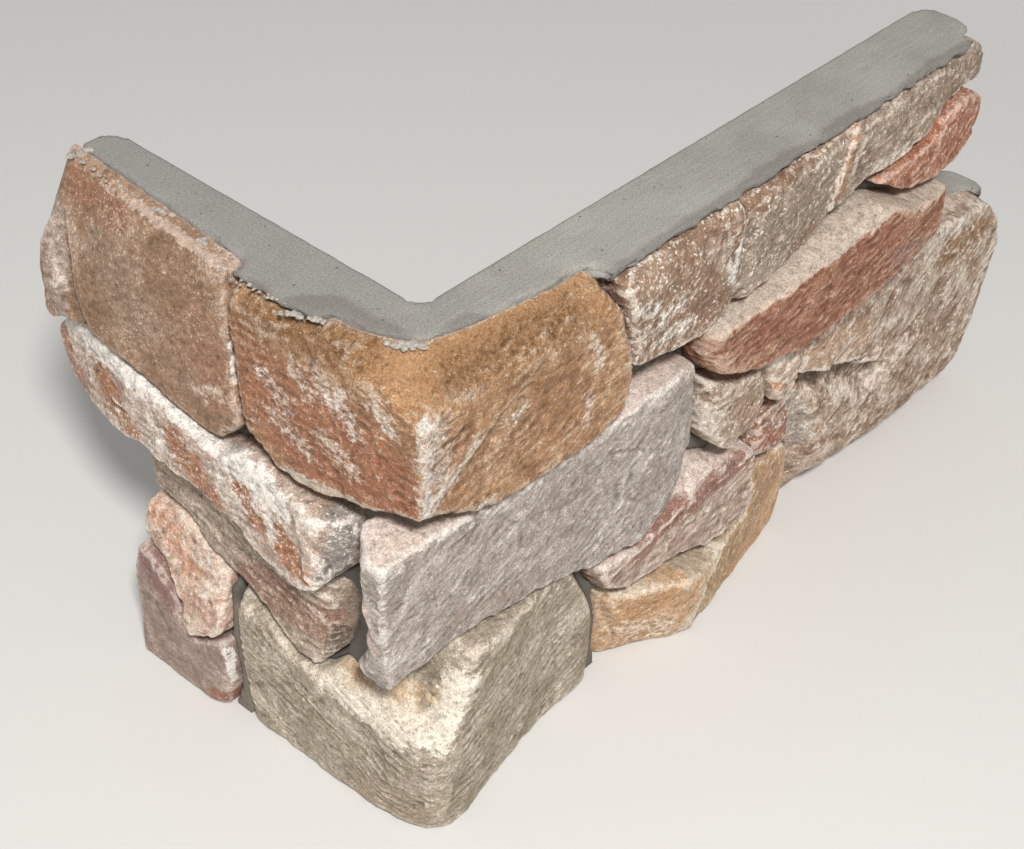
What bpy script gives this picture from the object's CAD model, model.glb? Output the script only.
# %% [markdown]
# # A stone cladding corner piece
# The real object is a wall unit. A mason lays split natural stones face down in a mould, and
# concrete is cast behind them. It turns the corner of a house, so it is L-shaped, and both ends
# are stepped to lock with the next units.
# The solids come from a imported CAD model, the frame. This script gives them their looks.

# %% The frame
import math
import random

import bmesh
import bpy
import numpy as np
from mathutils import Matrix, Vector, noise


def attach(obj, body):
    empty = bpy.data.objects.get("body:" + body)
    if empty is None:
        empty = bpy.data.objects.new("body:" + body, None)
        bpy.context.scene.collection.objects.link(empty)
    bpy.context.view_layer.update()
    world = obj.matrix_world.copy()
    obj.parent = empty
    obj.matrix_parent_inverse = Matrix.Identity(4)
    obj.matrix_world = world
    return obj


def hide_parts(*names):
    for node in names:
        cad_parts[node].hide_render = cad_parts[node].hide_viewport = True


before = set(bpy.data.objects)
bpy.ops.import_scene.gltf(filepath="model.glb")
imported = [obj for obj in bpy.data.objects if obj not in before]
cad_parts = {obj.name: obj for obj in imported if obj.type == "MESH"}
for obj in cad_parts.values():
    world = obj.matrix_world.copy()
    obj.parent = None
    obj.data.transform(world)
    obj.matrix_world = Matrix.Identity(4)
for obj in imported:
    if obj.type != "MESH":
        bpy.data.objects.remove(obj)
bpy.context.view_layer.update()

MM = 0.001
scene = bpy.context.scene
print("solids in the frame:", len(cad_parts))

# %% [markdown]
# ## Camera
# The photograph looks down on the outer corner, turned a little. The camera's place and lens were
# worked out from the concrete's edges, which are straight and at right angles, so the render can
# be laid over the photograph. Three angles say more to a reader than a matrix does: where the
# camera heads, how far it looks down, and how far it is turned about its own line of sight.

# %% The camera
CAMERA_PLACE = Vector((-0.3387, -0.3072, 0.5319))
HEADING = math.radians(38.405)      # from +X towards +Y
LOOKS_DOWN = math.radians(39.425)
TURNED = math.radians(4.237)        # its right side is raised
LENS = 65.57                        # for a sensor 36 mm wide

forward = Vector((math.cos(LOOKS_DOWN) * math.cos(HEADING),
                  math.cos(LOOKS_DOWN) * math.sin(HEADING),
                  -math.sin(LOOKS_DOWN)))
level_right = Vector((math.sin(HEADING), -math.cos(HEADING), 0.0))
level_up = level_right.cross(forward)
right = level_right * math.cos(TURNED) + level_up * math.sin(TURNED)
up = level_up * math.cos(TURNED) - level_right * math.sin(TURNED)

camera = bpy.data.objects.new("camera", bpy.data.cameras.new("camera"))
scene.collection.objects.link(camera)
camera.data.lens = LENS
camera.matrix_world = Matrix.Translation(CAMERA_PLACE) @ Matrix((right, up, -forward)).transposed().to_4x4()
scene.camera = camera
print("camera at", [round(value, 3) for value in camera.location])

# %% [markdown]
# ## Colours and nodes
# A colour picked on a screen is written in sRGB. Blender calculates with linear light, so one
# function turns one into the other. A second small function adds a shader node, sets its
# settings and fills its inputs, either with a value or with the output of another node.

# %% Two helpers


def linear_colour(text):
    """Turn an sRGB colour such as #9B9893 into linear red, green, blue and alpha."""
    channels = [int(text[i:i + 2], 16) / 255 for i in (1, 3, 5)]
    return [c / 12.92 if c <= 0.04045 else ((c + 0.055) / 1.055) ** 2.4 for c in channels] + [1.0]


def add(tree, kind, settings=None, inputs=None):
    """Add one node. An input is a plain value or another node's output."""
    node = tree.nodes.new(kind)
    for name, value in (settings or {}).items():
        setattr(node, name, value)
    for socket, value in (inputs or {}).items():
        if isinstance(value, bpy.types.NodeSocket):
            tree.links.new(value, node.inputs[socket])
        else:
            node.inputs[socket].default_value = value
    return node.outputs


COLOUR_MIX = {"data_type": "RGBA"}
MIX_SHARE, MIX_UNDER, MIX_OVER, MIX_RESULT = 0, 6, 7, 2     # sockets of a colour mix
SMOOTH = {"interpolation_type": "SMOOTHSTEP"}
print("white is", linear_colour("#FFFFFF"))

# %% [markdown]
# ## Floor, sky and lamp
# A plain pale floor and an even sky give a soft studio light. One large lamp stands
# high behind the camera, square to the outer corner, so that both faces are lit alike, ledges
# catch light and the stones throw soft shadows on those below. The sky is white to the camera
# and dimmer as a light. Far from the object the floor fades into that white, so no horizon shows.

# %% The studio
SKY_LIGHT = 0.42
LAMP_SIZE = 0.20
LAMP_AWAY = 1.5
LAMP_TURN = math.radians(225)       # where it stands, from +X towards +Y
LAMP_HEIGHT = math.radians(48)
LAMP_POWER = 21.6
FLOOR_SIZE = 8.0
FADES_FROM, FADES_TO = 0.55, 1.5     # distance at which the floor fades into the sky, m


def seen_directly(tree):
    """1 where the camera looks, also by way of a mirror or glass, and 0 for light on the object."""
    rays = add(tree, "ShaderNodeLightPath")
    seen = add(tree, "ShaderNodeMath", {"operation": "ADD", "use_clamp": True},
               {0: rays["Is Camera Ray"], 1: rays["Is Glossy Ray"]})[0]
    return add(tree, "ShaderNodeMath", {"operation": "ADD", "use_clamp": True},
               {0: seen, 1: rays["Is Transmission Ray"]})[0]



middle = Vector((0.14, 0.05, 0.1))
lamp_way = Vector((math.cos(LAMP_HEIGHT) * math.cos(LAMP_TURN),
                   math.cos(LAMP_HEIGHT) * math.sin(LAMP_TURN),
                   math.sin(LAMP_HEIGHT)))
lamp = bpy.data.objects.new("softbox", bpy.data.lights.new("softbox", "AREA"))
scene.collection.objects.link(lamp)
lamp.data.shape = "DISK"
lamp.data.size = LAMP_SIZE
lamp.data.energy = LAMP_POWER
lamp.location = middle + lamp_way * LAMP_AWAY
lamp.rotation_euler = lamp_way.to_track_quat("Z", "Y").to_euler()

world = bpy.data.worlds.new("studio_sky")
world.use_nodes = True
scene.world = world
sky = world.node_tree
strength = add(sky, "ShaderNodeMapRange", None,
               {"Value": seen_directly(sky), "To Min": SKY_LIGHT, "To Max": 1.0})[0]
background = sky.nodes["Background"]
background.inputs["Color"].default_value = linear_colour("#F4F3F1")
sky.links.new(strength, background.inputs["Strength"])

floor_mesh = bpy.data.meshes.new("floor")
half = FLOOR_SIZE / 2
floor_mesh.from_pydata([(-half, -half, 0), (half, -half, 0), (half, half, 0), (-half, half, 0)],
                       [], [(0, 1, 2, 3)])
floor = bpy.data.objects.new("floor", floor_mesh)
scene.collection.objects.link(floor)
floor.location.z = -0.2 * MM
floor_paint = bpy.data.materials.new("pale_floor_paint")
floor_paint.use_nodes = True
paint = floor_paint.node_tree
paint.nodes["Principled BSDF"].inputs["Base Color"].default_value = linear_colour("#DAD8D4")
paint.nodes["Principled BSDF"].inputs["Roughness"].default_value = 0.9
place = add(paint, "ShaderNodeTexCoord")["Object"]
away = add(paint, "ShaderNodeVectorMath", {"operation": "LENGTH"}, {0: place})[1]
fading = add(paint, "ShaderNodeMapRange", {"interpolation_type": "SMOOTHSTEP"},
             {"Value": away, "From Min": FADES_FROM, "From Max": FADES_TO})[0]
fading = add(paint, "ShaderNodeMath", {"operation": "MULTIPLY"}, {0: fading, 1: seen_directly(paint)})[0]
glow = add(paint, "ShaderNodeEmission", None, {"Color": linear_colour("#F4F3F1")})[0]
mixed = add(paint, "ShaderNodeMixShader", None,
            {0: fading, 1: paint.nodes["Principled BSDF"].outputs[0], 2: glow})[0]
paint.links.new(mixed, paint.nodes["Material Output"].inputs["Surface"])
floor_mesh.materials.append(floor_paint)
scene.view_settings.view_transform = "Standard"
print("lamp at", [round(value, 2) for value in lamp.location])

# %% [markdown]
# ## Even meshes to carve
# The solids of the frame are true in size and place, but their faces are flat facets some 7 mm
# wide. Split rock has detail down to a grain of sand. A voxel remesh turns a copy of a solid into
# even squares about a millimetre wide, which is three pixels of the photograph, and a little
# smoothing takes the steps of the remesh out. Everything finer is left to the bump in the materials.

# %% Remeshing and smoothing
VOXEL = 0.9 * MM


def remeshed(mesh, voxel):
    """Turn a mesh into a new one of even squares."""
    draft = bpy.data.objects.new("draft", mesh)
    scene.collection.objects.link(draft)
    modifier = draft.modifiers.new("even_squares", "REMESH")
    modifier.mode = "VOXEL"
    modifier.voxel_size = voxel
    graph = bpy.context.evaluated_depsgraph_get()
    mesh = bpy.data.meshes.new_from_object(draft.evaluated_get(graph), depsgraph=graph)
    bpy.data.objects.remove(draft)
    mesh.materials.clear()
    return mesh


def read(collection, name, width):
    """Read one value of every item of a mesh, as rows."""
    values = np.zeros(len(collection) * width, np.float32 if name != "vertices" else np.int32)
    collection.foreach_get(name, values)
    return values.reshape(-1, width)


def write_points(mesh, points):
    mesh.vertices.foreach_set("co", points.astype(np.float32).ravel())
    mesh.update()


def neighbour_mean(values, edges):
    """The mean of each point's neighbours."""
    ends = np.concatenate((edges[:, 0], edges[:, 1]))
    others = np.concatenate((edges[:, 1], edges[:, 0]))
    count = np.bincount(ends, minlength=len(values))
    sums = [np.bincount(ends, values[others, k], len(values)) for k in range(values.shape[1])]
    return np.stack(sums, 1) / np.maximum(count, 1)[:, None]


def smoothed(values, edges, rounds):
    for _ in range(rounds):
        values = (values + neighbour_mean(values, edges)) / 2
    return values


def highest_around(values, edges, rounds):
    """The highest value within this many edges of each point."""
    for _ in range(rounds):
        raised = values.copy()
        np.maximum.at(raised, edges[:, 0], values[edges[:, 1]])
        np.maximum.at(raised, edges[:, 1], values[edges[:, 0]])
        values = raised
    return values


def smooth_step(values, low, high):
    share = np.clip((values - low) / (high - low), 0, 1)
    return share * share * (3 - 2 * share)


print("squares are", VOXEL / MM, "mm wide")

# %% [markdown]
# ## Carving a split face
# A mason's hammer breaks a stone along its weakest planes. The break is made of small flat
# steps, each with its own tilt. Thin beds show as fine parallel grooves, and the sharp edge
# around the face crumbles. Each of these is a height in millimetres, added along the normal of
# the mesh: tilted Voronoi cells for the steps, noise squeezed across the beds for the grooves,
# and bites out of what stands proud for the crumbled edge.

# %% Relief of a split face
BACKING = 24.0              # depth of the concrete's front face behind the wall, mm
BEDDED = 2.0                # the relief fades out this far round that face, mm
FACET_ROUNDS = 2            # smoothing that takes out the steps of the remesh
EDGE_ROUNDS = 10            # smoothing that an edge is measured against
SHARP_EDGE = 0.55           # how far a sharp edge stands out of it, mm
SIDE_GROWTH = 0.25          # most that a stone may grow towards its neighbour, mm
MOST_SQUARED = 3.5          # most that an edge is built out, mm
CELLS = 3                   # nearest cells that a point is mixed from
CELL_EDGE = 22.0            # how sharply one step gives way to the next


def stepped(place):
    """Height of broken planes one unit wide: every cell has a tilt of its own."""
    away, centres = noise.voronoi(place)
    total = 0.0
    height = 0.0
    for distance, centre in zip(away[:CELLS], centres[:CELLS]):
        weight = math.exp(CELL_EDGE * (away[0] - distance))
        tilt = noise.noise_vector(centre * 3.7)
        height += weight * tilt.dot(place - centre)
        height += weight * tilt.x / 2
        total += weight
    return height / total


def relief(place, rock):
    """Height of the split face at a place in millimetres."""
    steps = rock["steps"] * stepped(place / rock["step_mm"])
    chips = rock["chips"] * stepped(place / rock["chip_mm"] + Vector((7, 3, 5)))
    beds = rock["beds"] * terraced(place, rock["lay"], rock["bed_mm"])
    grains = rock["grains"] * noise.fractal(place / rock["grain_mm"], 0.8, 2.0, 3)
    return steps + chips + beds + grains


def terraced(place, lay, width):
    """Broken edges of thin beds: a slow rise and a sudden fall, fading in and out along the bed."""
    level = place.dot(lay) / width + 0.55 * noise.fractal(place / 13.0, 0.9, 2.0, 3)
    rise = level - math.floor(level)
    strength = max(0.0, noise.noise(place / 9.0 + Vector((11, 5, 2))) + 0.4)
    return strength * (min(rise / 0.82, (1 - rise) / 0.18) - 0.5)


def squared(mesh, rounds):
    """Carry the face of a stone straight out to its edges, so that they are as sharp as broken ones."""
    edges = read(mesh.edges, "vertices", 2)
    points = smoothed(read(mesh.vertices, "co", 3) / MM, edges, 1)
    normals = read(mesh.vertices, "normal", 3)
    bare = smooth_step(np.maximum(-points[:, 0], -points[:, 1]), BACKING, BACKING + BEDDED)
    bare *= smooth_step(points[:, 2], 0, 14) * (1 - smooth_step(points[:, 2], 186, 197))
    for axis, other in ((0, 1), (1, 0)):
        depth = np.where(-points[:, axis] > -points[:, other] - 1.0, -points[:, axis], 0.0)
        raised = highest_around(depth, edges, rounds)
        faces_here = smooth_step(-normals[:, axis] + 0.25 * normals[:, other], -0.2, 0.25)
        growth = np.clip(raised - depth, 0, MOST_SQUARED) * bare * faces_here * (depth > 0)
        points[:, axis] -= smoothed(growth[:, None], edges, 1)[:, 0]
    write_points(mesh, points * MM)
    return remeshed(mesh, VOXEL)


def line_distance(points, start, end):
    """How far points are from a straight line between two places, in millimetres."""
    start, way = np.array(start, float), np.array(end, float) - np.array(start, float)
    share = np.clip(((points - start) @ way) / (way @ way), 0, 1)
    return np.linalg.norm(points - start - share[:, None] * way, axis=1)


def fall_beside(points, crease, wander):
    """How far each point falls back on one side of a crease: (start, end, side, depth, width)."""
    start, end, side, depth, width = crease
    way = np.array(end, float) - np.array(start, float)
    side = np.array(side, float) - way * (np.dot(side, way) / (way @ way))
    side /= np.linalg.norm(side)
    beyond = (points - np.array(start, float)) @ side + 0.9 * wander
    near = 1 - smooth_step(line_distance(points, start, end), 0.3 * width, width)
    return depth * near * smooth_step(beyond, -0.2, 0.8)


def carve(mesh, rock):
    """Give a remeshed stone its split face, and mark its crests and hollows for the material."""
    edges = read(mesh.edges, "vertices", 2)
    points = smoothed(read(mesh.vertices, "co", 3) / MM, edges, FACET_ROUNDS)
    write_points(mesh, points * MM)
    normals = read(mesh.vertices, "normal", 3)
    depth = np.maximum(-points[:, 0], -points[:, 1])
    bare = smooth_step(depth, BACKING - BEDDED, BACKING + BEDDED)
    stand_out = ((points - smoothed(points, edges, EDGE_ROUNDS)) * normals).sum(1)
    edge = smooth_step(stand_out, 0.3 * SHARP_EDGE, SHARP_EDGE)
    heights = np.zeros(len(points))
    crumble = np.zeros(len(points))
    calm = 1 - rock["calm"] * smooth_step(normals[:, 2], 0.35, 0.65)
    for i in np.nonzero(bare > 0)[0]:
        place = Vector(points[i])
        heights[i] = relief(place, rock) * calm[i]
        if edge[i] > 0:
            crumble[i] = max(0.0, noise.fractal(place / rock["crumb_mm"], 0.8, 2.0, 3) + 0.1)
    for start, end, width, fall in rock["cracks"]:
        wander = heights - heights.mean()
        away = line_distance(points, start, end) + 0.6 * np.abs(wander)
        heights -= fall * smooth_step(-away, -width, -0.2 * width)
    for crease in rock["drops"]:
        heights -= fall_beside(points, crease, heights - heights.mean())
    heights -= rock["crumbs"] * edge * crumble
    outward = np.maximum(-normals[:, 0], -normals[:, 1])
    sideways = 1 - smooth_step(outward, 0.2, 0.6)
    heights = np.where(sideways > 0, np.minimum(heights, SIDE_GROWTH + (1 - sideways) * 3), heights)
    points = points + normals * (bare * heights)[:, None]
    for start, end, most in rock["raised"]:
        facing = smooth_step(-normals[:, 1], 0.3, 0.8)
        points[:, 1] -= most * facing * smooth_step((points[:, 0] - start) / (end - start), 0, 1)
    points[:, 2] = np.clip(points[:, 2], 0, 200)
    write_points(mesh, points * MM)
    mark_crests(mesh, points, edges)


def mark_crests(mesh, points, edges):
    """Store how far each point stands out of its surroundings, from -1 in a hollow to 1."""
    normals = read(mesh.vertices, "normal", 3)
    fine = ((points - smoothed(points, edges, 3)) * normals).sum(1) / 0.12
    broad = ((points - smoothed(points, edges, 14)) * normals).sum(1) / 0.6
    crest = np.clip(0.45 * fine + 0.55 * broad, -1, 1)
    crest = smoothed(crest[:, None], edges, 1)[:, 0]
    attribute = mesh.attributes.new("crest", "FLOAT", "POINT")
    attribute.data.foreach_set("value", crest.astype(np.float32))


PLAIN_ROCK = dict(
    steps=1.7, step_mm=15.0,        # height and width of the broken steps
    chips=0.7, chip_mm=5.5,         # smaller steps on them
    beds=0.8, bed_mm=4.0,           # height and spacing of the broken edges of beds
    calm=0.3,                       # how much smoother a ledge is than the face
    square=5,                       # rounds of building out the edges of the face
    raised=(),                      # (start, end, mm): how far the long face is raised at this x
    grains=0.2, grain_mm=2.0,
    crumbs=1.1, crumb_mm=5.0,       # how far and how often the edge is broken back
    lay=(-0.15, -0.1, 0.98),        # straight across the beds
    cracks=(),                      # (start, end, width, depth) in mm
    drops=())                       # (start, end, side that falls back, depth, width) in mm
print("a plain rock has", len(PLAIN_ROCK), "sizes")

# %% [markdown]
# ## Split rock as a material
# Quartzite, gneiss and sandstone look much alike when split: a matt, broken surface with a few
# tones of iron-stained mineral, thin streaks along the beds, single pale crystals and a dusting
# of pale powder where the edges are bruised. One function builds that as layers, each with its
# real size in millimetres. What differs from stone to stone goes in as values.
# A stain is a line from one place to another with a width, so that a vein, a seam or a patch can
# sit just where the real stone has it. Noise frays its border.

# %% Layers of a split rock
ROCK_IOR = 1.5              # quartz and feldspar are near 1.54, weathered stone a little less
TONE_LOW, TONE_HIGH = 0.36, 0.64    # where the noise has nearly all its values
LEDGE_RAGGED = 0.3          # how ragged the border of a ledge is
WHOLE_STAIN = 0.6           # grip of a stain that covers its middle whole
SPRINKLED_STAIN = 0.24      # grip of one that shows in clots only


def toned(tree, value, tones):
    """Spread tones, from hollow to crest of a noise, over its usual range."""
    outputs = add(tree, "ShaderNodeValToRGB", None, {0: value})
    ramp = tree.nodes[-1].color_ramp
    for i, tone in enumerate(tones):
        place = TONE_LOW + (TONE_HIGH - TONE_LOW) * i / (len(tones) - 1)
        element = ramp.elements[i] if i < 2 else ramp.elements.new(place)
        element.position = place
        element.color = linear_colour(tone)
    return outputs[0]


def blended(tree, share, under, over):
    """Lay a tone or a colour output over another by this share."""
    if isinstance(over, str):
        over = linear_colour(over)
    return add(tree, "ShaderNodeMix", COLOUR_MIX,
               {MIX_SHARE: share, MIX_UNDER: under, MIX_OVER: over})[MIX_RESULT]


def squeezed_coordinates(tree, millimetres, lay, times):
    """Coordinates in which everything is this many times thinner across the beds."""
    turn = Vector(lay).to_track_quat("Z", "Y").to_euler()
    return add(tree, "ShaderNodeMapping", {"vector_type": "TEXTURE"},
               {"Vector": millimetres, "Rotation": turn, "Scale": (1, 1, 1 / times)})[0]


def stained(tree, colour, frayed, specks, grip, stain):
    """Lay one stain over the colour: (tone, start, end, width, strength)."""
    tone, start, end, width, strength = stain
    start, way = Vector(start), Vector(end) - Vector(start)
    if way.length < 0.5:
        way = Vector((0.5, 0.0, 0.0))
    from_start = add(tree, "ShaderNodeVectorMath", {"operation": "SUBTRACT"}, {0: frayed, 1: start})[0]
    share = add(tree, "ShaderNodeVectorMath", {"operation": "DOT_PRODUCT"},
                {0: from_start, 1: way / way.length_squared})[1]
    share = add(tree, "ShaderNodeClamp", None, {0: share})[0]
    nearest = add(tree, "ShaderNodeVectorMath", {"operation": "SCALE"}, {0: way, 3: share})[0]
    away = add(tree, "ShaderNodeVectorMath", {"operation": "DISTANCE"}, {0: from_start, 1: nearest})[1]
    cover = add(tree, "ShaderNodeMapRange", None,
                {"Value": away, "From Min": 1.25 * width, "From Max": 0.25 * width})[0]
    cover = add(tree, "ShaderNodeMath", {"operation": "MULTIPLY_ADD"}, {0: cover, 1: grip, 2: specks})[0]
    cover = add(tree, "ShaderNodeMapRange", SMOOTH,
                {"Value": cover, "From Min": 0.62, "From Max": 0.86, "To Max": strength})[0]
    return blended(tree, cover, colour, tone)


def split_rock(name, look):
    """Build the material of one split stone."""
    finish = bpy.data.materials.new(name)
    finish.use_nodes = True
    tree = finish.node_tree
    shader = tree.nodes["Principled BSDF"]
    metres = add(tree, "ShaderNodeTexCoord")["Object"]
    millimetres = add(tree, "ShaderNodeVectorMath", {"operation": "SCALE"}, {0: metres, 3: 1 / MM})[0]
    gentle = squeezed_coordinates(tree, millimetres, look["lay"], look["squeeze"])

    fray = add(tree, "ShaderNodeTexNoise", None,
               {"Vector": gentle, "Scale": 1 / look["fray_mm"], "Detail": 4.0, "Roughness": 0.65})
    fray = add(tree, "ShaderNodeVectorMath", {"operation": "SUBTRACT"}, {0: fray["Color"], 1: (0.5, 0.5, 0.5)})[0]
    fray = add(tree, "ShaderNodeVectorMath", {"operation": "SCALE"}, {0: fray, 3: look["fray"]})[0]
    frayed = add(tree, "ShaderNodeVectorMath", {"operation": "ADD"}, {0: millimetres, 1: fray})[0]
    specks = add(tree, "ShaderNodeTexNoise", None,
                 {"Vector": gentle, "Scale": 1 / look["speck_mm"], "Detail": 6.0, "Roughness": 0.78})[0]

    patches = add(tree, "ShaderNodeTexNoise", None,
                  {"Vector": gentle, "Scale": 1 / look["patch_mm"], "Detail": 5.0,
                   "Roughness": 0.62, "Distortion": 0.5})[0]
    colour = toned(tree, patches, look["tones"])

    if look["ledge"]:
        upward = add(tree, "ShaderNodeNewGeometry")["Normal"]
        upward = add(tree, "ShaderNodeSeparateXYZ", None, {0: upward})[2]
        ragged = add(tree, "ShaderNodeMath", {"operation": "MULTIPLY_ADD"}, {0: specks, 1: LEDGE_RAGGED, 2: upward})[0]
        low, high = look["ledge_slope"]
        cover = add(tree, "ShaderNodeMapRange", SMOOTH,
                    {"Value": ragged, "From Min": low + LEDGE_RAGGED / 2,
                     "From Max": high + LEDGE_RAGGED / 2})[0]
        colour = blended(tree, cover, colour, look["ledge"])
    for stain in look["stains"]:
        colour = stained(tree, colour, frayed, specks, WHOLE_STAIN, stain)
    for stain in look["sprinkles"]:
        colour = stained(tree, colour, frayed, specks, SPRINKLED_STAIN, stain)

    thin = squeezed_coordinates(tree, frayed, look["lay"], look["streak_squeeze"])
    streaks = add(tree, "ShaderNodeTexNoise", None,
                  {"Vector": thin, "Scale": 1 / look["streak_mm"], "Detail": 3.0, "Roughness": 0.6})[0]
    cover = add(tree, "ShaderNodeMapRange", SMOOTH,
                {"Value": streaks, "From Min": 0.47, "From Max": 0.3, "To Max": look["dark_streaks"]})[0]
    colour = blended(tree, cover, colour, look["dark"])
    cover = add(tree, "ShaderNodeMapRange", SMOOTH,
                {"Value": streaks, "From Min": 0.53, "From Max": 0.68, "To Max": look["pale_streaks"]})[0]
    colour = blended(tree, cover, colour, look["pale"])

    crystals = add(tree, "ShaderNodeTexNoise", None,
                   {"Vector": millimetres, "Scale": 1 / look["fleck_mm"], "Detail": 2.0, "Roughness": 0.55})[0]
    gathered = add(tree, "ShaderNodeMath", {"operation": "MULTIPLY_ADD"},
                   {0: patches, 1: look["gather"], 2: crystals})[0]
    start = look["fleck_from"] + look["gather"] / 2
    cover = add(tree, "ShaderNodeMapRange", SMOOTH,
                {"Value": gathered, "From Min": start, "From Max": start + 0.07, "To Max": look["flecks"]})[0]
    colour = blended(tree, cover, colour, look["fleck_tone"])

    grain = add(tree, "ShaderNodeTexNoise", None,
                {"Vector": millimetres, "Scale": 1 / look["grain_mm"], "Detail": 4.0, "Roughness": 0.78})[0]
    crest = add(tree, "ShaderNodeAttribute", {"attribute_name": "crest"})["Fac"]
    dusted = add(tree, "ShaderNodeMath", {"operation": "MULTIPLY_ADD"}, {0: grain, 1: 1.1, 2: crest})[0]
    dusted = add(tree, "ShaderNodeMath", {"operation": "MULTIPLY_ADD"}, {0: patches, 1: 0.9, 2: dusted})[0]
    cover = add(tree, "ShaderNodeMapRange", SMOOTH,
                {"Value": dusted, "From Min": 1.22, "From Max": 1.75, "To Max": look["dust"]})[0]
    colour = blended(tree, cover, colour, look["dust_tone"])
    light = add(tree, "ShaderNodeMapRange", None,
                {"Value": grain, "From Min": 0.3, "From Max": 0.7,
                 "To Min": 1 - look["contrast"], "To Max": 1 + look["contrast"]})[0]
    hollow = add(tree, "ShaderNodeMapRange", None,
                 {"Value": crest, "From Min": -0.7, "From Max": 0.0, "To Min": 0.5, "To Max": 1.0})[0]
    light = add(tree, "ShaderNodeMath", {"operation": "MULTIPLY"}, {0: light, 1: hollow})[0]
    pits = add(tree, "ShaderNodeMapRange", SMOOTH,
               {"Value": specks, "From Min": 0.42, "From Max": 0.3,
                "To Min": 1.0, "To Max": 1 - look["pits"]})[0]
    light = add(tree, "ShaderNodeMath", {"operation": "MULTIPLY"}, {0: light, 1: pits})[0]
    mottled = add(tree, "ShaderNodeMapRange", None,
                  {"Value": specks, "From Min": 0.36, "From Max": 0.64,
                   "To Min": 1 - look["mottle"], "To Max": 1 + look["mottle"]})[0]
    light = add(tree, "ShaderNodeMath", {"operation": "MULTIPLY"}, {0: light, 1: mottled})[0]
    colour = add(tree, "ShaderNodeVectorMath", {"operation": "SCALE"}, {0: colour, 3: light})[0]
    tree.links.new(colour, shader.inputs["Base Color"])

    height = add(tree, "ShaderNodeMath", {"operation": "MULTIPLY_ADD"},
                 {0: streaks, 1: look["streak_bump"], 2: grain})[0]
    height = add(tree, "ShaderNodeMath", {"operation": "MULTIPLY_ADD"}, {0: crystals, 1: 1.0, 2: height})[0]
    height = add(tree, "ShaderNodeMath", {"operation": "MULTIPLY_ADD"}, {0: specks, 1: 1.6, 2: height})[0]
    bump = add(tree, "ShaderNodeBump", None,
               {"Strength": look["bump"], "Distance": look["bump_mm"] * MM, "Height": height})[0]
    tree.links.new(bump, shader.inputs["Normal"])
    rough = add(tree, "ShaderNodeMapRange", None,
                {"Value": grain, "From Min": 0.3, "From Max": 0.7, "To Min": 0.74, "To Max": 0.95})[0]
    tree.links.new(rough, shader.inputs["Roughness"])
    shader.inputs["IOR"].default_value = ROCK_IOR
    return finish


PLAIN_LOOK = dict(
    tones=("#806A5A", "#9A8270", "#B09A88"), patch_mm=20.0, squeeze=1.4,
    ledge=None, ledge_slope=(0.35, 0.6),
    stains=(), sprinkles=(), fray=9.0, fray_mm=7.0, speck_mm=3.2,
    streak_mm=4.0, streak_squeeze=4.0,
    dark="#6E5647", dark_streaks=0.3, pale="#D6C7B8", pale_streaks=0.3,
    fleck_tone="#F0E7DC", fleck_mm=1.1, fleck_from=0.595, gather=0.35, flecks=0.95,
    grain_mm=0.7, contrast=0.45, mottle=0.32, pits=0.36,
    dust_tone="#E6DACE", dust=0.55,
    streak_bump=1.0, bump=0.65, bump_mm=0.6,
    lay=(-0.15, -0.1, 0.98))
print("a plain rock's look has", len(PLAIN_LOOK), "values")

# %% [markdown]
# ## From solid to stone
# Each stone now takes one call: remesh its solid, carve it, give it its rock, and tell the frame
# that the new piece rides with the body and stands for the solid.

# %% One stone at a time


def make_stone(node, rock_name, sizes, look):
    """Replace a solid of the frame by a carved stone with its own rock."""
    rock = {**PLAIN_ROCK, **sizes}
    rock["lay"] = Vector(rock["lay"]).normalized()
    mesh = remeshed(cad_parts[node].data.copy(), VOXEL)
    mesh = squared(mesh, rock["square"])
    carve(mesh, rock)
    mesh.name = "split_" + node
    mesh.materials.append(split_rock(rock_name, {**PLAIN_LOOK, "lay": rock["lay"], **look}))
    mesh.shade_smooth()
    stone = bpy.data.objects.new("split_" + node, mesh)
    scene.collection.objects.link(stone)
    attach(stone, "root")
    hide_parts(node)
    print(stone.name, "has", len(mesh.polygons), "squares")


# %% [markdown]
# ## The brown slab and its white joint
# The top stone of the short leg is fine-grained brown quartzite. It split along one smooth
# plane, so it has hardly any steps. Its free end is bruised white, and a pale seam follows the
# concrete.

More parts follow.
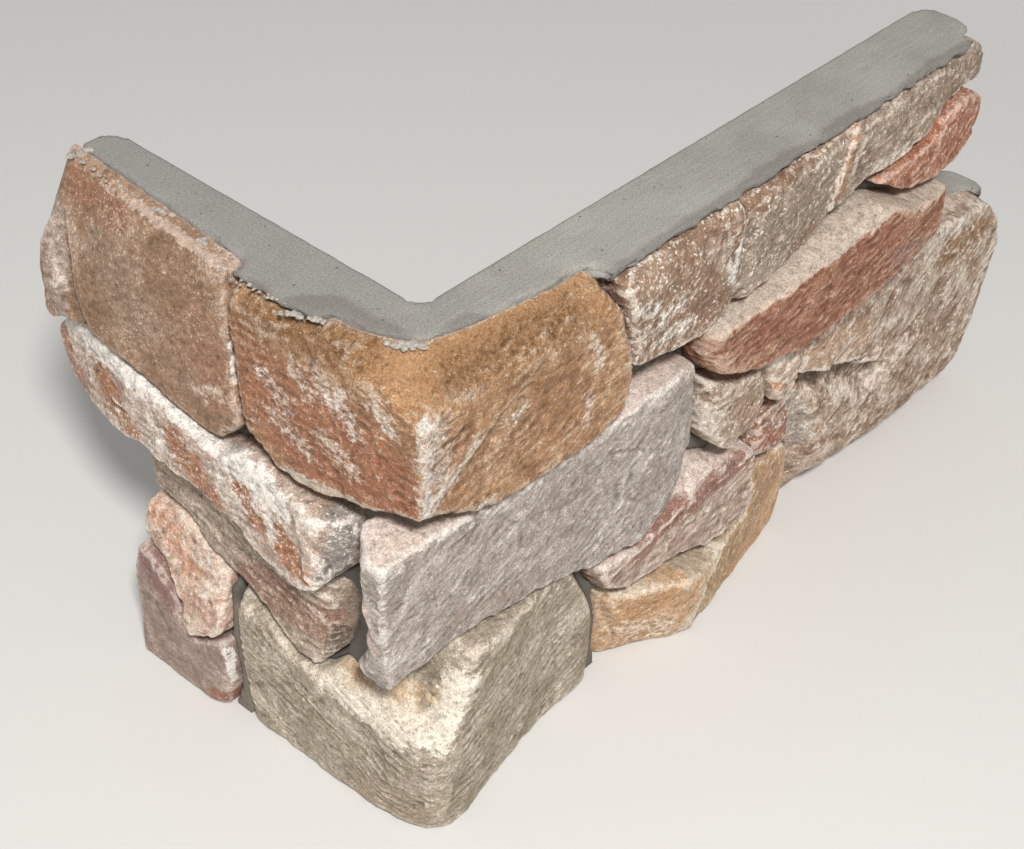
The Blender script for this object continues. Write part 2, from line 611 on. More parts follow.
# %% Brown slab
make_stone("brown_slab_stone", "brown_quartzite", dict(
    steps=0.8, step_mm=22.0, chips=0.35, chip_mm=7.0, beds=0.35, crumbs=1.4,
    lay=(0.0, 0.35, 0.94),
    drops=(
        ((-28, 137, 174), (-31, 131, 162), (0, 1, 0.3), 1.6, 12),
        ((-31, 131, 162), (-33, 122, 146), (0, 1, -0.4), 1.8, 12))), dict(
    tones=("#866950", "#97765B", "#A58368", "#B1927A"), patch_mm=26.0,
    stains=(
        ("#998572", (-33, 112, 178), (-33, 98, 166), 15, 0.45),
        ("#9D6C50", (-24, 136, 192), (-25, 110, 192), 8, 0.75),
        ("#A3785E", (-33, 62, 176), (-33, 58, 152), 9, 0.6),
        ("#A98974", (-33, 84, 162), (-33, 70, 150), 10, 0.5),
        ("#C9B2A2", (-22, 146, 199), (-25, 95, 200), 2.6, 0.75),
        ("#C9B2A2", (-25, 95, 200), (-28, 57, 200), 2.4, 0.75),
        ("#A8968A", (-26, 147, 180), (-31, 139, 148), 7, 0.8),
        ("#E6DDD2", (-30, 53, 196), (-31, 50, 160), 1.5, 1.0)),
    sprinkles=(
        ("#DCCFC2", (-26, 146, 168), (-31, 140, 154), 7, 0.8),
        ("#DCC9B8", (-33, 66, 150), (-33, 54, 154), 5, 0.9)),
    fray=6.0, dark_streaks=0.25, pale_streaks=0.25, gather=0.5,
    fleck_mm=0.9, fleck_from=0.61, flecks=0.7, dust=0.3,
    fleck_tone="#DECDBA", pale="#C4A98F", contrast=0.34, bump=0.7))

# %% [markdown]
# ## The lower stones of the short leg
# A gneiss with a band of white quartz and orange iron stains, a thin grey sandy stone, a coarse
# pink and cream granite-like stone, and a smooth purple-brown one.

# %% White banded, thin grey, pink and purple stones
make_stone("white_banded_stone", "quartz_banded_gneiss", dict(
    steps=1.9, step_mm=13.0, chips=0.7, beds=0.8, lay=(0.1, 0.12, 0.98)), dict(
    tones=("#B29380", "#C8AF9D", "#DDCBBC"),
    stains=(
        ("#AC7D60", (-25, 150, 120), (-27, 138, 106), 7, 0.8),
        ("#AE7A58", (-30, 122, 124), (-33, 104, 110), 8, 0.95),
        ("#B27C5A", (-36, 76, 122), (-37, 61, 109), 8, 0.95),
        ("#B07856", (-38, 42, 122), (-39, 35, 114), 6, 0.95),
        ("#AE7652", (-38, 28, 118), (-40, 14, 107), 7, 0.95),
        ("#F6EEE4", (-24, 146, 133), (-31, 94, 137), 8, 1.0),
        ("#F3EADF", (-31, 94, 137), (-32, 72, 134), 7, 1.0),
        ("#F3EADF", (-32, 66, 133), (-36, 44, 131), 6, 0.95),
        ("#F6EEE4", (-36, 44, 132), (-38, 22, 129), 6, 1.0),
        ("#EEE3D6", (-38, 30, 128), (-39, 28, 112), 3, 0.9),
        ("#8F8880", (-30, 3, 132), (-34, 3, 108), 7, 0.9),
        ("#DAD2C8", (-38, 14, 105), (-35, 4, 104), 3, 0.8)),
    sprinkles=(
        ("#EFE5DA", (-33, 96, 128), (-34, 84, 116), 8, 0.9),
        ("#EFE5DA", (-37, 54, 120), (-38, 46, 110), 6, 0.9)),
    fray=10.0, dust_tone="#EEE5DB", dust=0.8, pale_streaks=0.4, dark_streaks=0.25))
make_stone("thin_grey_stone", "grey_sandy_schist", dict(
    steps=1.3, step_mm=12.0, chips=0.7, beds=0.8, grains=0.3), dict(
    tones=("#9A8877", "#AF9B89", "#C0AD9B"), patch_mm=12.0, grain_mm=0.9, contrast=0.5, mottle=0.28,
    stains=(
        ("#946C56", (-30, 46, 74), (-29, 14, 76), 11, 0.75),
        ("#5A4C42", (-26, 8, 72), (-27, 9, 60), 5, 0.7)),
    fleck_tone="#DCC8B6", fleck_mm=1.1, fleck_from=0.6, flecks=0.7, dust=0.5))
make_stone("pink_cream_stone", "pink_cream_granite", dict(
    steps=1.4, step_mm=11.0, chips=0.9, chip_mm=4.0, beds=0.35, grains=0.3), dict(
    tones=("#C29A83", "#D6B8A2", "#E9D6C4"), patch_mm=8.0, squeeze=1.2,
    stains=(
        ("#D39C7C", (-29, 102, 72), (-31, 76, 56), 5, 0.7),
        ("#CB9C8A", (-33, 72, 47), (-33, 58, 43), 5, 0.7)),
    dark="#B08A72", dark_streaks=0.45, pale_streaks=0.35, fleck_tone="#F2E8DB",
    dust_tone="#EDDFD0", dust=0.6, contrast=0.4))
make_stone("purple_brown_stone", "purple_quartzite", dict(
    steps=1.0, step_mm=18.0, chips=0.45, beds=0.12), dict(
    tones=("#937D72", "#A28B7F", "#AE988C"),
    stains=(
        ("#8E6660", (-33, 98, 50), (-33, 84, 38), 9, 0.7),
        ("#9A6650", (-32, 66, 5), (-30, 58, 6), 5, 0.85),
        ("#E8E2DA", (-32, 61, 30), (-31, 58, 17), 2.4, 1.0)),
    dark="#72564E", flecks=0.45, fleck_from=0.65, dust=0.45, contrast=0.3, mottle=0.16, bump=0.6))

# %% [markdown]
# ## The corner stones
# Three stones carry the corner. The golden one is a coarse sandstone: its sloping top shows
# grains as large as sugar, its left face is iron red with clots of white, its right face is
# smoother with one sharp crease, and the corner between them is bruised white. Below it a grey
# quartzite slab sticks out past the corner, and at the bottom lies a greenish beige block with
# a cream ledge.

# %% Golden corner stone
make_stone("golden_corner_stone", "golden_sandstone", dict(
    steps=1.2, step_mm=17.0, chips=0.55, beds=0.7, bed_mm=3.6, grains=0.28, crumbs=1.4,
    lay=(-0.24, 0.1, 0.97), calm=0.0,
    drops=(
        ((-17, -33, 163), (-6, -33, 171), (1, 0, -0.6), 2.0, 13),
        ((-6, -33, 171), (14, -33, 184), (1, 0, -0.8), 1.6, 11))), dict(
    tones=("#966E4C", "#AC805C", "#BA8F68", "#CBA885"), patch_mm=14.0, squeeze=1.6,
    ledge="#BA8D62", ledge_slope=(0.3, 0.5),
    stains=(
        ("#AB7455", (-33, 46, 170), (-33, -14, 160), 22, 0.85),
        ("#A66E50", (-33, 20, 156), (-33, -22, 158), 14, 0.7),
        ("#9B7657", (-8, -33, 160), (10, -36, 170), 8, 0.6),
        ("#E0D5CB", (-29, -29, 187), (-30, -32, 154), 2.6, 0.95),
        ("#DACBBB", (-34, 24, 141), (-34, -25, 148), 2.6, 0.85),
        ("#DACBBB", (-34, -25, 150), (-2, -35, 144), 2.6, 0.85),
        ("#D5BFA8", (-17, -28, 189), (-5, -30, 188), 2.0, 0.6),
        ("#6B503A", (-15, -33, 162), (-5, -33, 170), 0.9, 0.7)),
    sprinkles=(
        ("#DDD4CB", (-25, -31, 186), (-25, -33, 162), 9, 1.0),
        ("#DBD1C6", (-26, -32, 159), (-15, -34, 164), 8, 1.0),
        ("#D6CABC", (-15, -34, 166), (-9, -34, 172), 5, 0.9),
        ("#EFE3D7", (-32, 12, 186), (-32, 4, 177), 6, 1.0),
        ("#E8DACC", (-32, 22, 184), (-33, 14, 176), 5, 1.0),
        ("#EFE3D7", (-32, 2, 183), (-32, -4, 172), 6, 1.0),
        ("#EFE3D7", (-31, -11, 187), (-31, -18, 180), 6, 1.0),
        ("#E6D6C7", (-33, 35, 173), (-33, 24, 166), 6, 1.0),
        ("#E6D6C7", (-33, 30, 160), (-34, 14, 154), 6, 0.9),
        ("#E6D6C7", (-33, 8, 164), (-34, -6, 158), 6, 0.9),
        ("#D9C2AE", (-31, 46, 192), (-31, 30, 189), 3, 0.8),
        ("#D9C2AE", (-31, 30, 189), (-31, -8, 184), 2.4, 0.7),
        ("#F0E4D6", (43, -35, 184), (47, -36, 172), 4.5, 1.0),
        ("#F0E4D6", (42, -35, 163), (41, -36, 152), 4, 1.0),
        ("#F0E4D6", (12, -34, 173), (10, -34, 171), 4, 1.0),
        ("#64421F", (-10, -25, 195), (34, -30, 194), 18, 0.95),
        ("#64421F", (-30, 40, 194), (-24, 0, 196), 16, 0.95)),
    fray=8.0, fray_mm=6.0, speck_mm=2.6, dark="#7F5C3E", dark_streaks=0.35,
    pale="#D6BC9C", pale_streaks=0.25, fleck_tone="#E4D2BE", flecks=0.55, fleck_from=0.63,
    dust_tone="#DAC8B4", dust=0.55, contrast=0.48, pits=0.4, bump=0.95))

# %% Grey corner stone
make_stone("grey_corner_stone", "grey_quartzite", dict(
    steps=1.5, step_mm=16.0, chips=0.6, chip_mm=5.0, beds=0.6, bed_mm=3.6, grains=0.14,
    lay=(-0.4, 0.1, 0.9), calm=0.5,
    cracks=(
        ((-45, -26, 112), (-24, -31, 109), 1.2, 0.6),
        ((52, -34, 122), (66, -34, 124), 1.0, 0.7),
        ((66, -34, 124), (80, -35, 116), 1.0, 0.7),
        ((-6, -32, 98), (24, -33, 104), 0.9, 0.5))), dict(
    tones=("#988B80", "#A79B91", "#B3A79D", "#C2B7AC"), patch_mm=16.0,
    ledge="#E0CCBE", ledge_slope=(0.55, 0.75),
    stains=(
        ("#D0BBAC", (-40, -12, 138), (-44, -25, 100), 4, 0.7),
        ("#E0CDC0", (-30, -6, 139), (-10, -24, 139), 6, 0.8),
        ("#CDB8AA", (86, -30, 139), (108, -30, 137), 6, 0.7),
        ("#B49F90", (30, -33, 100), (70, -34, 120), 6, 0.35),
        ("#A8917F", (-10, -32, 96), (16, -32, 92), 5, 0.35)),
    dark="#7E746B", dark_streaks=0.25, pale="#D6CDC4", pale_streaks=0.35, streak_mm=3.0,
    streak_squeeze=3.5, streak_bump=0.8, speck_mm=2.0, pits=0.3,
    fleck_tone="#DED5CC", flecks=0.6, fleck_from=0.6,
    dust_tone="#DDD4CB", dust=0.75, contrast=0.4))

# %% Beige corner stone
make_stone("beige_corner_stone", "beige_green_quartzite", dict(
    steps=1.7, step_mm=17.0, chips=0.6, beds=0.9, bed_mm=3.6, lay=(-0.2, -0.27, 0.94),
    calm=0.5, raised=((44, 70, 4.5),),
    cracks=(
        ((-34, -10, 41), (-27, -37, 40), 1.6, 1.0),
        ((-3, -38, 52), (22, -37, 62), 1.2, 0.8))), dict(
    tones=("#92866F", "#A59784", "#B1A391", "#BFB2A0"), patch_mm=18.0, squeeze=1.8,
    stains=(
        ("#A3977F", (-32, 40, 40), (-33, 0, 24), 11, 0.45),
        ("#AE9983", (-30, -8, 12), (-26, -32, 14), 9, 0.45),
        ("#E0D1BC", (-27, 12, 55), (-26, -22, 57), 11, 1.0),
        ("#EFE3D1", (-30, 8, 50), (-30, -24, 49), 5, 1.0),
        ("#EFE3D1", (-30, -22, 50), (-22, -35, 48), 5, 1.0),
        ("#ECDFCC", (-22, -33, 50), (-12, -34, 68), 7, 1.0),
        ("#CFAE88", (-24, 4, 58), (-25, -3, 57), 5, 0.8),
        ("#CFAE88", (-22, -14, 60), (-20, -26, 62), 5, 0.7),
        ("#C9B8A2", (-20, -38, 34), (-22, -38, 6), 2.4, 0.8),
        ("#DCCEBC", (-28, 50, 57), (-29, 47, 50), 3, 0.9),
        ("#5C5145", (-34, -10, 41), (-27, -37, 40), 0.9, 0.6)),
    sprinkles=(
        ("#DCCDB8", (-30, 45, 14), (-31, 30, 8), 7, 0.9),
        ("#DCCFBC", (-31, 40, 46), (-33, 20, 34), 8, 0.7),
        ("#D8CAB8", (20, -33, 56), (60, -30, 40), 10, 0.6)),
    fray=9.0, dark="#776B5D", dark_streaks=0.25, pale="#D0C3AF", pale_streaks=0.25,
    streak_bump=0.6, speck_mm=2.2, pits=0.25,
    fleck_tone="#DCD0BC", flecks=0.55, dust_tone="#DDD0BF", dust=0.6))

# %% [markdown]
# ## The top course of the long leg
# The first stone is brown with clots of white feldspar, and turns grey and streaked at its right
# half. The next is grey-brown with an orange patch where it meets the first. A pale bruised seam
# runs along the top of both, under the concrete.

# %% Speckled and grey-brown top stones
make_stone("speckled_top_stone", "speckled_brown_quartzite", dict(
    steps=1.7, step_mm=15.0, chips=0.6, beds=0.5, bed_mm=3.6, lay=(-0.35, 0.1, 0.93),
    drops=(((120, -36, 158), (124, -35, 192), (1, 0, 0.2), 1.8, 12),)), dict(
    tones=("#82654E", "#92745C", "#A0826A"), patch_mm=20.0,
    stains=(
        ("#978675", (134, -36, 176), (178, -35, 182), 17, 0.9),
        ("#AE9E90", (128, -36, 162), (150, -36, 160), 6, 0.7),
        ("#CDBBAB", (60, -31, 198), (190, -31, 198), 2.0, 0.8),
        ("#E9E3DC", (123, -35, 184), (117, -36, 170), 2.2, 0.9),
        ("#B8A390", (104, -35, 190), (114, -35, 176), 4, 0.5)),
    sprinkles=(
        ("#F2EAE0", (64, -36, 184), (74, -36, 180), 5, 1.0),
        ("#F2EAE0", (68, -36, 172), (89, -36, 176), 5.5, 1.0),
        ("#EFE6DB", (76, -36, 165), (97, -36, 164), 5, 1.0),
        ("#D6C6B6", (64, -36, 159), (110, -37, 155), 4, 0.8),
        ("#DDD2C6", (114, -35, 188), (117, -36, 174), 5, 0.8)),
    fleck_tone="#EBE1D4", fleck_mm=1.5, fleck_from=0.6, gather=0.3, flecks=0.9,
    dark="#6E5846", dark_streaks=0.3))
make_stone("grey_brown_end_stone", "grey_brown_quartzite", dict(
    steps=1.7, step_mm=14.0, chips=0.7, beds=0.7, lay=(-0.2, 0.1, 0.97)), dict(
    tones=("#887563", "#998573", "#AB9783"), patch_mm=16.0,
    stains=(
        ("#B28566", (194, -32, 193), (187, -31, 174), 6, 0.8),
        ("#DCCCBD", (201, -32, 190), (197, -32, 176), 2.4, 0.75),
        ("#CDBCAD", (200, -30, 198), (300, -27, 197), 2.0, 0.8)),
    sprinkles=(
        ("#DCCFC1", (206, -33, 172), (236, -32, 170), 7, 0.8),),
    fleck_tone="#DDD0C0", flecks=0.75, fleck_from=0.59, dust=0.7))

# %% [markdown]
# ## The red stones
# Iron oxide colours these two red. The long one split with a flat sandy bed on top, which reads
# as a pale ledge, and a streaked red-brown face below it.

# %% Small red and red-brown stones
make_stone("small_red_stone", "red_quartzite", dict(
    steps=1.5, step_mm=10.0, chips=0.7, beds=0.8, lay=(-0.3, 0.1, 0.95)), dict(
    tones=("#985F45", "#AA7055", "#BC8D75"), patch_mm=10.0,
    dark="#764534", dark_streaks=0.35, pale="#DCC4B4", pale_streaks=0.3,
    fleck_tone="#EBDDD0", flecks=0.75, fleck_from=0.61, dust_tone="#E0CDBE", dust=0.45))
make_stone("red_brown_stone", "red_brown_quartzite", dict(
    steps=1.7, step_mm=13.0, chips=0.7, beds=1.0, bed_mm=3.6, lay=(-0.12, 0.05, 0.99),
    calm=0.85), dict(
    tones=("#87543E", "#9C684E", "#B08064"), patch_mm=12.0, squeeze=2.5,
    ledge="#CBBBAA", ledge_slope=(0.42, 0.56),
    stains=(
        ("#CFB19A", (112, -32, 144), (120, -38, 134), 5, 0.75),
        ("#A38B7E", (232, -40, 128), (262, -38, 122), 6, 0.5)),
    sprinkles=(
        ("#C9A88F", (117, -38, 130), (150, -40, 128), 7, 0.6),),
    streak_squeeze=4.0, dark="#6C3F2E", dark_streaks=0.5,
    pale="#C8A48C", pale_streaks=0.35, fleck_tone="#E0CAB8", flecks=0.6, fleck_from=0.62,
    dust_tone="#CDB29D", dust=0.55))

# %% [markdown]
# ## The small stones beside the corner
# Packing stones between the grey slab and the right end: a beige block, a cream one with an
# orange swirl, a sliver of red, a long pink one with a red-brown band, and a wedge of orange
# iron-stained stone with a smooth dark right side.

# %% Small stones of the long leg
make_stone("beige_block_stone", "beige_quartzite", dict(
    steps=1.6, step_mm=10.0, chips=0.6, beds=0.8, lay=(-0.3, 0.1, 0.95)), dict(
    tones=("#9E8570", "#AE9681", "#BEA893"), patch_mm=11.0,
    stains=(
        ("#CFC0B2", (120, -31, 108), (124, -33, 88), 6, 0.85),
        ("#A98B74", (138, -36, 102), (150, -36, 92), 8, 0.75)),
    dust=0.6))
make_stone("small_cream_stone", "cream_quartzite", dict(
    steps=1.3, step_mm=8.0, chips=0.6, beds=0.7, lay=(-0.3, 0.1, 0.95)), dict(
    tones=("#B4977E", "#C7AE97", "#D8C6B2"), patch_mm=8.0,
    stains=(
        ("#C68F68", (165, -33, 96), (169, -34, 92), 3, 0.8),
        ("#E8DCCE", (163, -33, 106), (176, -33, 108), 3.4, 0.8)),
    dust=0.6))
make_stone("small_red_grey_stone", "red_grey_quartzite", dict(
    steps=1.4, step_mm=7.0, chips=0.6, beds=0.8, lay=(-0.3, 0.1, 0.95)), dict(
    tones=("#84614E", "#996E58", "#AB8873"), patch_mm=8.0,
    stains=(("#A5684E", (166, -31, 66), (182, -31, 62), 4, 0.75),),
    dark="#6B4A3C", dark_streaks=0.4, pale_streaks=0.4))
make_stone("long_pink_stone", "pink_banded_quartzite", dict(
    steps=1.6, step_mm=12.0, chips=0.6, beds=0.9, lay=(-0.15, 0.1, 0.98)), dict(
    tones=("#A68C7C", "#B9A191", "#CBB6A6"), patch_mm=12.0, squeeze=2.0,
    ledge="#D9C4B8", ledge_slope=(0.45, 0.6),
    stains=(
        ("#94695A", (150, -34, 70), (96, -33, 66), 5.5, 0.95),
        ("#9A7060", (96, -33, 66), (68, -30, 56), 5.0, 0.9),
        ("#DCCABE", (70, -30, 50), (76, -31, 47), 4, 0.7)),
    dark="#8A6C5C", dark_streaks=0.35, pale_streaks=0.35, dust=0.6, flecks=0.5, fleck_from=0.63))
make_stone("orange_wedge_stone", "orange_stained_quartzite", dict(
    steps=1.0, step_mm=15.0, chips=0.4, beds=0.5, crumbs=1.0, lay=(-0.5, 0.1, 0.86),
    raised=((100, 84, 2.0),)), dict(
    tones=("#BE946C", "#CBA27C", "#D6B292"), patch_mm=14.0,
    ledge="#CDB89F", ledge_slope=(0.35, 0.55),
    stains=(
        ("#AF8B69", (176, -33, 40), (132, -39, 6), 17, 0.9),
        ("#C4976C", (104, -37, 36), (90, -34, 26), 9, 0.7),
        ("#E6D8C4", (146, -36, 40), (117, -41, 8), 4.5, 0.9)),
    sprinkles=(
        ("#EADDCA", (86, -32, 16), (106, -38, 12), 11, 0.95),
        ("#E8DAC6", (84, -30, 6), (114, -38, 3), 8, 0.9),
        ("#D3BC9C", (160, -36, 24), (128, -40, 3), 9, 0.6)),
    fray=11.0, fray_mm=5.0, dark="#9A7450", dark_streaks=0.25, pale="#E2CCAE", pale_streaks=0.3,
    fleck_tone="#EEE1CE", flecks=0.6, dust_tone="#E6D6C0", dust=0.55, bump=0.7, contrast=0.4))

# %% [markdown]
# ## The mottled end stone
# The largest stone of the long leg forms the lower half of the stepped end. It is a mottled
# quartzite, brown and cream in clots, with a smooth light lobe that hangs over its lower part.

# %% Mottled end stone
make_stone("mottled_end_stone", "mottled_quartzite", dict(
    steps=1.8, step_mm=14.0, chips=0.8, chip_mm=5.0, beds=0.7, grains=0.2, lay=(-0.4, 0.1, 0.9),
    drops=(
        ((188, -27, 72), (206, -33, 82), (0.3, 0, -1), 5.0, 26),
        ((206, -33, 82), (224, -33, 76), (-0.4, 0, -1), 5.0, 26),
        ((224, -33, 76), (252, -33, 60), (-0.5, 0, -1), 4.5, 22),
        ((252, -33, 60), (272, -33, 67), (0.2, 0, -1), 3.5, 18))), dict(
    tones=("#876B57", "#A78B75", "#BFA894", "#D6C5B5"), patch_mm=12.0,
    stains=(
        ("#65503F", (200, -33, 79), (222, -33, 75), 1.6, 0.7),
        ("#65503F", (222, -33, 75), (252, -33, 59), 1.6, 0.7),
        ("#BD9C80", (190, -33, 92), (228, -36, 88), 11, 0.8),
        ("#9A7856", (326, -31, 88), (300, -32, 96), 12, 0.95),
        ("#A59A90", (200, -28, 62), (206, -28, 40), 9, 0.75),
        ("#D8CABD", (262, -35, 112), (312, -34, 103), 4, 0.7),
        ("#DACDBF", (338, -30, 40), (350, -30, 80), 4, 0.8)),
    sprinkles=(
        ("#E6DACE", (291, -32, 104), (256, -34, 78), 8, 0.95),
        ("#E2D4C6", (300, -34, 80), (338, -32, 84), 6, 0.8),
        ("#DDD0C3", (222, -30, 60), (262, -32, 44), 12, 0.7),
        ("#75594A", (240, -34, 100), (300, -33, 60), 22, 0.5)),
    dark="#745C4C", dark_streaks=0.2, pale="#DCCDBE", pale_streaks=0.35, streak_squeeze=2.6,
    fleck_tone="#E6DACC", fleck_mm=1.8, fleck_from=0.58, flecks=0.8, dust_tone="#E0D3C7", dust=0.8))

# %% [markdown]
# ## Cast concrete
# The backing is cast grey concrete. Its top was struck off with a board, which leaves faint
# streaks along each leg, fine pores where air bubbles opened, and a darker, sandier margin along
# the stones. In the joints between the stones it is dark with damp and dirt. Its crumbled front edge is carved as the stones' edges are.

# %% Concrete as a material
CONCRETE_IOR = 1.5
WIDE_MARGIN = (-18, -6, 200)         # the golden stone's border, where the margin is widest, mm
WIDE_JOINT = (-24, 56, 24)  # middle of the one joint that is wide enough to be filled with mortar, mm


def cast_concrete():
    """Build the material of the backing."""
    finish = bpy.data.materials.new("cast_concrete")
    finish.use_nodes = True
    tree = finish.node_tree
    shader = tree.nodes["Principled BSDF"]
    metres = add(tree, "ShaderNodeTexCoord")["Object"]
    millimetres = add(tree, "ShaderNodeVectorMath", {"operation": "SCALE"}, {0: metres, 3: 1 / MM})[0]
    clouds = add(tree, "ShaderNodeTexNoise", None,
                 {"Vector": millimetres, "Scale": 1 / 30, "Detail": 6.0, "Roughness": 0.6})[0]
    colour = toned(tree, clouds, ("#8D8A84", "#959289", "#9C9992"))
    axes = add(tree, "ShaderNodeSeparateXYZ", None, {0: millimetres})
    long_leg = add(tree, "ShaderNodeMath", {"operation": "SUBTRACT"}, {0: axes[0], 1: axes[1]})[0]
    long_leg = add(tree, "ShaderNodeMapRange", SMOOTH, {"Value": long_leg, "From Min": -30.0, "From Max": 30.0})[0]
    strokes = []
    for stretch in ((12, 1, 12), (1, 12, 12)):
        drawn = add(tree, "ShaderNodeMapping", {"vector_type": "TEXTURE"},
                    {"Vector": millimetres, "Scale": stretch})[0]
        strokes.append(add(tree, "ShaderNodeTexNoise", None,
                           {"Vector": drawn, "Scale": 0.8, "Detail": 3.0, "Roughness": 0.6})[0])
    struck = add(tree, "ShaderNodeMix", {"data_type": "FLOAT"},
                 {0: long_leg, 2: strokes[1], 3: strokes[0]})[0]
    cover = add(tree, "ShaderNodeMapRange", SMOOTH,
                {"Value": struck, "From Min": 0.52, "From Max": 0.7, "To Max": 0.16})[0]
    colour = blended(tree, cover, colour, "#B8B4AC")
    cover = add(tree, "ShaderNodeMapRange", SMOOTH,
                {"Value": struck, "From Min": 0.48, "From Max": 0.34, "To Max": 0.14})[0]
    colour = blended(tree, cover, colour, "#807E79")
    short_leg = add(tree, "ShaderNodeMapRange", None,
                    {"Value": long_leg, "From Min": 1.0, "From Max": 0.0, "To Max": 0.6})[0]
    colour = blended(tree, short_leg, colour, "#878480")
    sand = add(tree, "ShaderNodeTexNoise", None,
               {"Vector": millimetres, "Scale": 1 / 0.8, "Detail": 3.0, "Roughness": 0.7})[0]
    nearness = add(tree, "ShaderNodeMath", {"operation": "MINIMUM"}, {0: axes[0], 1: axes[1]})[0]
    ragged = add(tree, "ShaderNodeMath", {"operation": "MULTIPLY_ADD"}, {0: clouds, 1: 14.0, 2: nearness})[0]
    from_corner = add(tree, "ShaderNodeVectorMath", {"operation": "DISTANCE"},
                      {0: millimetres, 1: WIDE_MARGIN})[1]
    wider = add(tree, "ShaderNodeMapRange", SMOOTH,
                {"Value": from_corner, "From Min": 44.0, "From Max": 24.0, "To Max": -14.0})[0]
    ragged = add(tree, "ShaderNodeMath", {"operation": "ADD"}, {0: ragged, 1: wider})[0]
    margin = add(tree, "ShaderNodeMapRange", SMOOTH,
                 {"Value": ragged, "From Min": -18.0, "From Max": -21.5, "To Max": 0.75})[0]
    colour = blended(tree, margin, colour, "#77726B")
    joint = add(tree, "ShaderNodeMapRange", SMOOTH,
                {"Value": nearness, "From Min": -21.0, "From Max": -23.5})[0]
    below = add(tree, "ShaderNodeMapRange", SMOOTH,
                {"Value": axes[2], "From Min": 198.0, "From Max": 192.0, "To Max": 0.85})[0]
    joint = add(tree, "ShaderNodeMath", {"operation": "MULTIPLY"}, {0: joint, 1: below})[0]
    colour = blended(tree, joint, colour, "#57524B")
    beside = add(tree, "ShaderNodeVectorMath", {"operation": "DISTANCE"}, {0: millimetres, 1: WIDE_JOINT})[1]
    cover = add(tree, "ShaderNodeMapRange", SMOOTH,
                {"Value": beside, "From Min": 34.0, "From Max": 28.0, "To Max": 0.8})[0]
    colour = blended(tree, cover, colour, "#837B70")
    bubbles = add(tree, "ShaderNodeTexVoronoi", None, {"Vector": millimetres, "Scale": 1 / 3.2})
    chosen = add(tree, "ShaderNodeSeparateXYZ", None, {0: bubbles["Color"]})[0]
    size = add(tree, "ShaderNodeMapRange", None,
               {"Value": chosen, "From Min": 0.6, "From Max": 1.0, "To Min": 0.0, "To Max": 0.17})[0]
    open_pore = add(tree, "ShaderNodeMath", {"operation": "LESS_THAN"}, {0: bubbles["Distance"], 1: size})[0]
    cover = add(tree, "ShaderNodeMath", {"operation": "MULTIPLY"}, {0: open_pore, 1: 0.75})[0]
    colour = blended(tree, cover, colour, "#4B4843")
    light = add(tree, "ShaderNodeMapRange", None,
                {"Value": sand, "From Min": 0.3, "From Max": 0.7, "To Min": 0.7, "To Max": 1.26})[0]
    crest = add(tree, "ShaderNodeAttribute", {"attribute_name": "crest"})["Fac"]
    hollow = add(tree, "ShaderNodeMapRange", None,
                 {"Value": crest, "From Min": -0.7, "From Max": 0.0, "To Min": 0.65, "To Max": 1.0})[0]
    light = add(tree, "ShaderNodeMath", {"operation": "MULTIPLY"}, {0: light, 1: hollow})[0]
    colour = add(tree, "ShaderNodeVectorMath", {"operation": "SCALE"}, {0: colour, 3: light})[0]
    tree.links.new(colour, shader.inputs["Base Color"])
    height = add(tree, "ShaderNodeMath", {"operation": "MULTIPLY_ADD"}, {0: struck, 1: 0.8, 2: sand})[0]
    height = add(tree, "ShaderNodeMath", {"operation": "MULTIPLY_ADD"}, {0: open_pore, 1: -2.0, 2: height})[0]
    rough_margin = add(tree, "ShaderNodeMath", {"operation": "MULTIPLY_ADD"}, {0: margin, 1: sand, 2: height})[0]
    bump = add(tree, "ShaderNodeBump", None,
               {"Strength": 0.5, "Distance": 0.4 * MM, "Height": rough_margin})[0]
    tree.links.new(bump, shader.inputs["Normal"])
    rough = add(tree, "ShaderNodeMapRange", None,
                {"Value": sand, "From Min": 0.3, "From Max": 0.7, "To Min": 0.8, "To Max": 0.97})[0]
    tree.links.new(rough, shader.inputs["Roughness"])
    shader.inputs["IOR"].default_value = CONCRETE_IOR
    return finish


concrete = cast_concrete()
print("concrete has", len(concrete.node_tree.nodes), "nodes")

# %% The backing
CONCRETE_VOXEL = 1.8 * MM


def carve_concrete(mesh):
    """Crumble the concrete's front edges and leave its cast faces nearly flat."""
    edges = read(mesh.edges, "vertices", 2)
    points = read(mesh.vertices, "co", 3) / MM
    normals = read(mesh.vertices, "normal", 3)
    depth = np.maximum(-points[:, 0], -points[:, 1])
    front = smooth_step(depth, 12, 22)
    stand_out = ((points - smoothed(points, edges, EDGE_ROUNDS)) * normals).sum(1)
    edge = smooth_step(stand_out, 0.2, 0.7)
    heights = np.zeros(len(points))
    for i in np.nonzero(points[:, 2] > 185)[0]:
        place = Vector(points[i])
        uneven = noise.fractal(place / 7.0, 0.8, 2.0, 3)
        heights[i] = 0.15 * uneven - front[i] * edge[i] * 2.4 * max(0.0, uneven + 0.35)
    points = points + normals * heights[:, None]
    points[:, 2] = np.clip(points[:, 2], 0, 200)
    write_points(mesh, points * MM)
    mark_crests(mesh, points, edges)


mesh = remeshed(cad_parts["concrete_backing"].data.copy(), CONCRETE_VOXEL)
carve_concrete(mesh)
mesh.name = "cast_backing"
mesh.materials.append(concrete)
mesh.shade_smooth()
backing = bpy.data.objects.new("cast_backing", mesh)
scene.collection.objects.link(backing)
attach(backing, "root")
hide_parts("concrete_backing")
print(backing.name, "has", len(mesh.polygons), "squares")

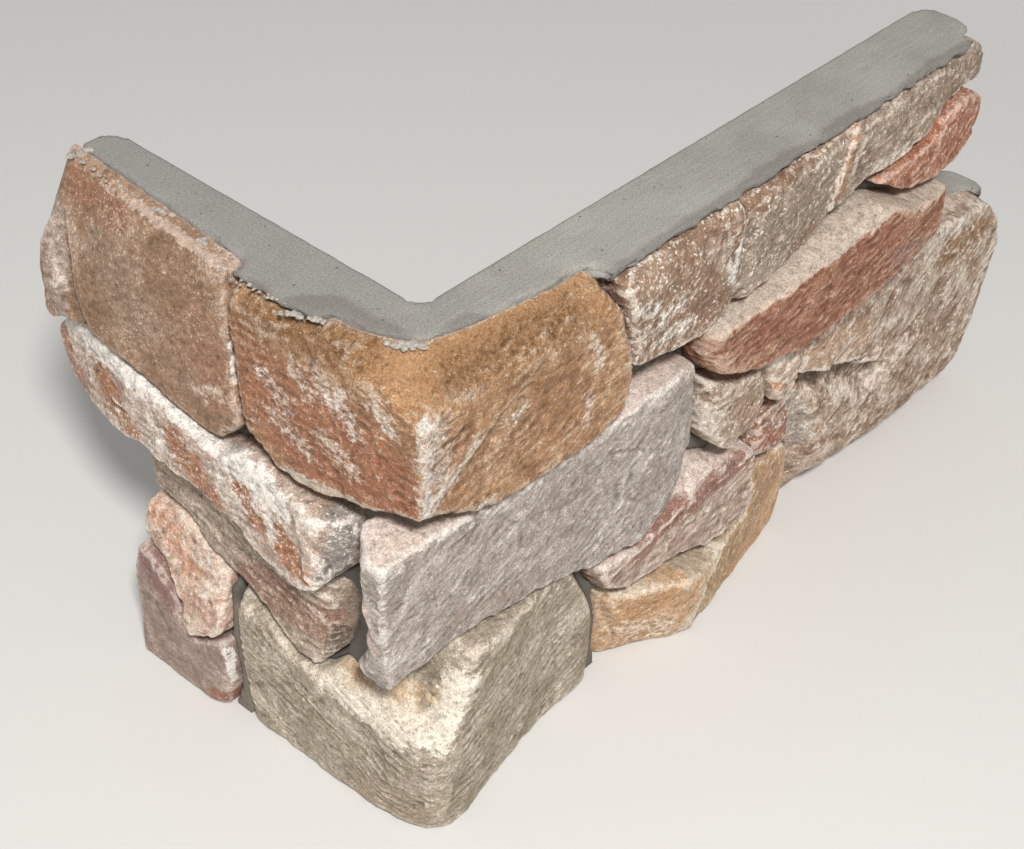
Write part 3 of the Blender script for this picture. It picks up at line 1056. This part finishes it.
# %% [markdown]
# ## Crumbs of mortar
# When the concrete is poured, its thin milk creeps over the edge of the stones and dries as pale
# crumbs. They lie along the border of the top face and in the joint beside the brown slab. Each
# is a small ball, dented by noise and sunk halfway in. They are one piece, because they belong
# to the cast.

# %% Mortar crumbs
CRUMB_ROWS = (      # start, end, how many, radius in mm
    ((-20, -6, 199.6), (-13, -15, 199.6), 16, 1.5),
    ((-31, 29, 199.2), (-26, 15, 199.5), 18, 1.2),
    ((-23, 75, 199.7), (-22, 71, 199.7), 5, 1.3),
    ((-23, 97, 199.6), (-20, 89, 199.7), 12, 1.2),
    ((-14, 2, 199.8), (-4, -15, 199.8), 9, 0.45),
    ((-29, 54, 198.8), (-27, 30, 199.2), 14, 0.7),
    ((-21, 136, 199.7), (-21, 100, 199.7), 12, 0.8),
    ((-22, 88, 199.7), (-23, 58, 199.7), 8, 0.7),
    ((-21, 140, 199.2), (-12, 139, 199.4), 6, 1.9))
CRUMB_STRAY = 1.3           # how far a crumb may lie from its row, mm
CRUMB_DENTS = 0.35
CRUMB_FLAT = Vector((1.0, 1.0, 0.55))       # a crumb is about half as high as it is wide


def loose_mortar():
    """Build the material of the crumbs: cement milk dried pale, matt and sandy."""
    finish = bpy.data.materials.new("dried_cement_milk")
    finish.use_nodes = True
    tree = finish.node_tree
    shader = tree.nodes["Principled BSDF"]
    metres = add(tree, "ShaderNodeTexCoord")["Object"]
    sand = add(tree, "ShaderNodeTexNoise", None,
               {"Vector": metres, "Scale": 1 / (0.9 * MM), "Detail": 4.0, "Roughness": 0.7})[0]
    tree.links.new(toned(tree, sand, ("#8A847C", "#A59D94", "#BFB7AD")), shader.inputs["Base Color"])
    bump = add(tree, "ShaderNodeBump", None, {"Strength": 0.7, "Distance": 0.3 * MM, "Height": sand})[0]
    tree.links.new(bump, shader.inputs["Normal"])
    rough = add(tree, "ShaderNodeMapRange", None,
                {"Value": sand, "From Min": 0.3, "From Max": 0.7, "To Min": 0.82, "To Max": 0.97})[0]
    tree.links.new(rough, shader.inputs["Roughness"])
    shader.inputs["IOR"].default_value = CONCRETE_IOR
    return finish


chance = random.Random(11)
crumbs = bmesh.new()
for start, end, count, radius in CRUMB_ROWS:
    for i in range(count):
        share = (i + chance.random()) / count
        stray = Vector((chance.uniform(-1, 1), chance.uniform(-1, 1), 0)) * CRUMB_STRAY
        place = Vector(start).lerp(Vector(end), share) + stray
        size = radius * chance.uniform(0.55, 1.15)
        ball = bmesh.ops.create_icosphere(crumbs, subdivisions=3, radius=1.0)["verts"]
        for corner in ball:
            dent = 1 + CRUMB_DENTS * noise.fractal(corner.co * 1.1 + place, 0.9, 2.0, 3)
            corner.co = (place + corner.co * CRUMB_FLAT * dent * size) * MM
mesh = bpy.data.meshes.new("mortar_crumbs")
crumbs.to_mesh(mesh)
crumbs.free()
mesh.materials.append(loose_mortar())
mesh.shade_smooth()
mortar = bpy.data.objects.new("mortar_crumbs", mesh)
scene.collection.objects.link(mortar)
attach(mortar, "root")
print(mortar.name, "has", len(mesh.polygons), "triangles")
